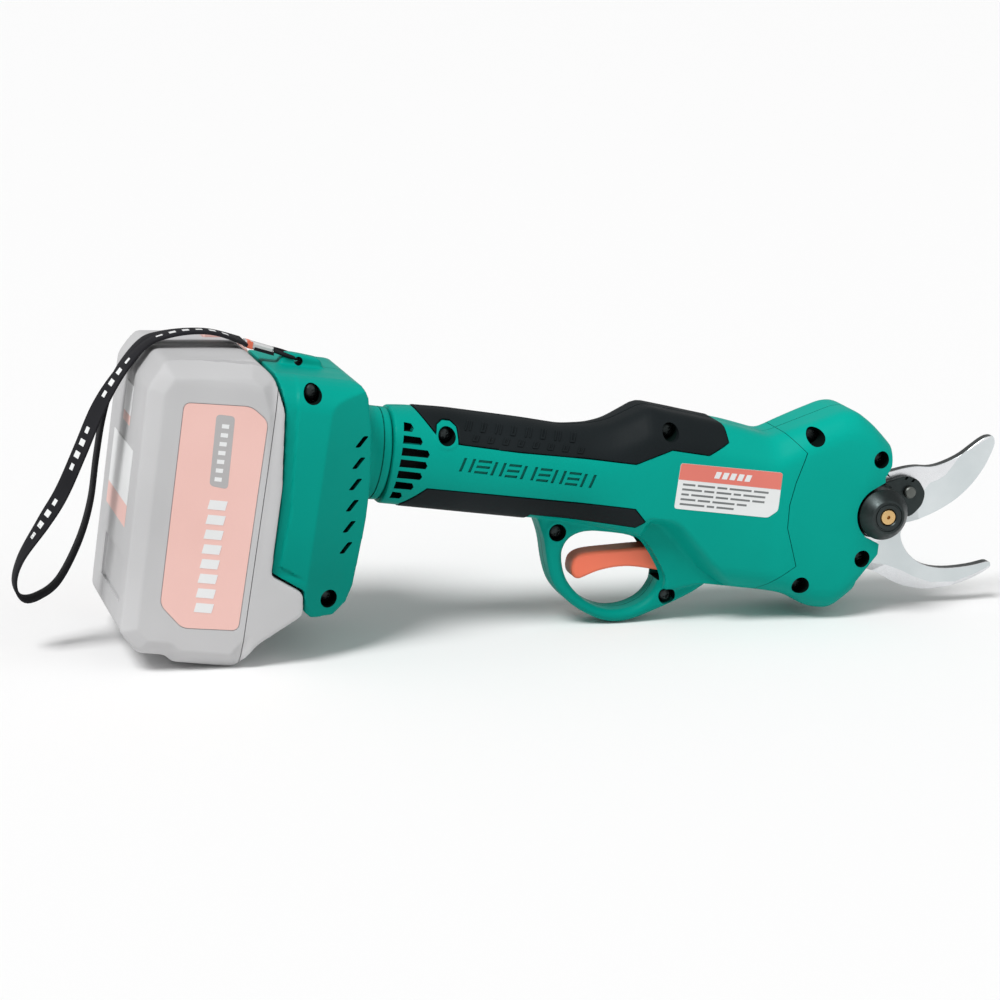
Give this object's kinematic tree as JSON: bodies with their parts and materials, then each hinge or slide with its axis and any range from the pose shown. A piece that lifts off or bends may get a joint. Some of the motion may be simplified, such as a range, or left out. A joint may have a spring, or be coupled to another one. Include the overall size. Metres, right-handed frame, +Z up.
{
  "type": "battery electric pruner",
  "caption": "Cordless pruning shear: straight grip with trigger and guard, fixed hooked blade, moving blade on a pivot nut, and a slide-on battery behind a foot with a wrist strap.",
  "frame": {"origin": "centre of the tool at floor level, under the middle of its length and width, without the strap", "axes": "+X along the tool towards the blades, +Y its left side, +Z up; it stands on the battery and the trigger guard, nose down by 8 degrees"},
  "size_m": [0.3867, 0.075, 0.1188],
  "materials": {
    "green_plastic": "fine-grained moulded plastic",
    "black_rubber": "soft overmould",
    "orange_plastic": "smooth",
    "blade_steel": "ground",
    "dark_steel": "blackened",
    "bright_steel": "plated",
    "brass": "turned",
    "copper": "wound copper and steel",
    "pack_plastic": "fine-grained moulded plastic",
    "dark_plastic": "moulded",
    "label_film": "printed film",
    "circuit_board": "coated board",
    "cell_wrap": "shrink-wrapped cells",
    "webbing": "woven webbing"
  },
  "bodies": {
    "handle": {"battery_dock": "dark_plastic", "blade_bushing": "brass", "controller_board": "circuit_board", "controller_capacitor": "dark_steel", "fixed_blade": "blade_steel", "foot_left": "green_plastic", "foot_right": "green_plastic", "foot_screw_01": "bright_steel", "foot_screw_02": "bright_steel", "gearbox_case": "bright_steel", "grip_bottom_left": "black_rubber", "grip_bottom_right": "black_rubber", "grip_top_left": "black_rubber", "grip_top_right": "black_rubber", "head_cover_left": "green_plastic", "head_cover_right": "green_plastic", "head_screw_01": "bright_steel", "head_screw_02": "bright_steel", "head_screw_03": "bright_steel", "head_screw_04": "bright_steel", "housing_left": "green_plastic", "housing_right": "green_plastic", "housing_screw_01": "bright_steel", "housing_screw_02": "bright_steel", "housing_screw_03": "bright_steel", "housing_screw_04": "bright_steel", "info_label": "label_film", "motor_can": "dark_steel", "motor_end_cap": "dark_plastic", "output_bearing": "bright_steel", "strap_cord": "webbing", "strap_ferrule": "orange_plastic", "terminal_block": "dark_plastic", "terminal_negative": "copper", "terminal_positive": "copper", "trigger_pin": "bright_steel", "trigger_sensor": "circuit_board", "trigger_spring": "bright_steel", "wrist_strap": "webbing"},
    "blade": {"moving_blade": "blade_steel", "gear_sector": "bright_steel", "pivot_bolt": "dark_steel", "pivot_nut": "dark_steel", "grease_plug": "brass", "lock_plate": "dark_steel", "lock_screw": "bright_steel"},
    "trigger": {"trigger": "orange_plastic"},
    "drive": {"drive_shaft": "bright_steel"},
    "rotor": {"motor_rotor": "copper"},
    "battery": {"pack_case": "pack_plastic", "pack_lid": "pack_plastic", "pack_label_right": "label_film", "pack_label_left": "label_film", "pack_cells": "cell_wrap", "pack_board": "circuit_board"},
    "release_button": {"release_button": "orange_plastic"},
    "gauge_button": {"gauge_button": "orange_plastic"}
  },
  "joints": [
    {"name": "blade_pivot", "type": "hinge", "parent": "handle", "child": "blade", "pos_m": [0.12209, 0, 0.04152], "axis": [0, 1, 0], "range_deg": [0, 52]},
    {"name": "trigger_pivot", "type": "hinge", "parent": "handle", "child": "trigger", "pos_m": [0.0428, 0, 0.02338], "axis": [0, 1, 0], "range_deg": [0, 11], "stiffness_Nm_per_rad": 0.6, "springref_deg": -5.73},
    {"name": "drive_spin", "type": "hinge", "parent": "handle", "child": "drive", "pos_m": [0.09635, 0, 0.04514], "axis": [0.9903, 0, -0.1392], "range_deg": [0, 210]},
    {"name": "rotor_spin", "type": "hinge", "parent": "handle", "child": "rotor", "pos_m": [-0.04467, 0, 0.06496], "axis": [0.9903, 0, -0.1392], "range_deg": [0, 630]},
    {"name": "battery_slide", "type": "slide", "parent": "handle", "child": "battery", "axis": [-0.1392, 0, -0.9903], "range_m": [0, 0.075]},
    {"name": "release_press", "type": "slide", "parent": "battery", "child": "release_button", "axis": [-0.1392, 0, -0.9903], "range_m": [0, 0.0025], "stiffness_N_per_m": 600, "springref_m": -0.001},
    {"name": "gauge_press", "type": "slide", "parent": "battery", "child": "gauge_button", "axis": [-0.1392, 0, -0.9903], "range_m": [0, 0.001], "stiffness_N_per_m": 800, "springref_m": -0.001}
  ],
  "couplings": [
    {"joint": "drive_spin", "follows": "blade_pivot", "ratio": 4},
    {"joint": "rotor_spin", "follows": "blade_pivot", "ratio": 12}
  ]
}
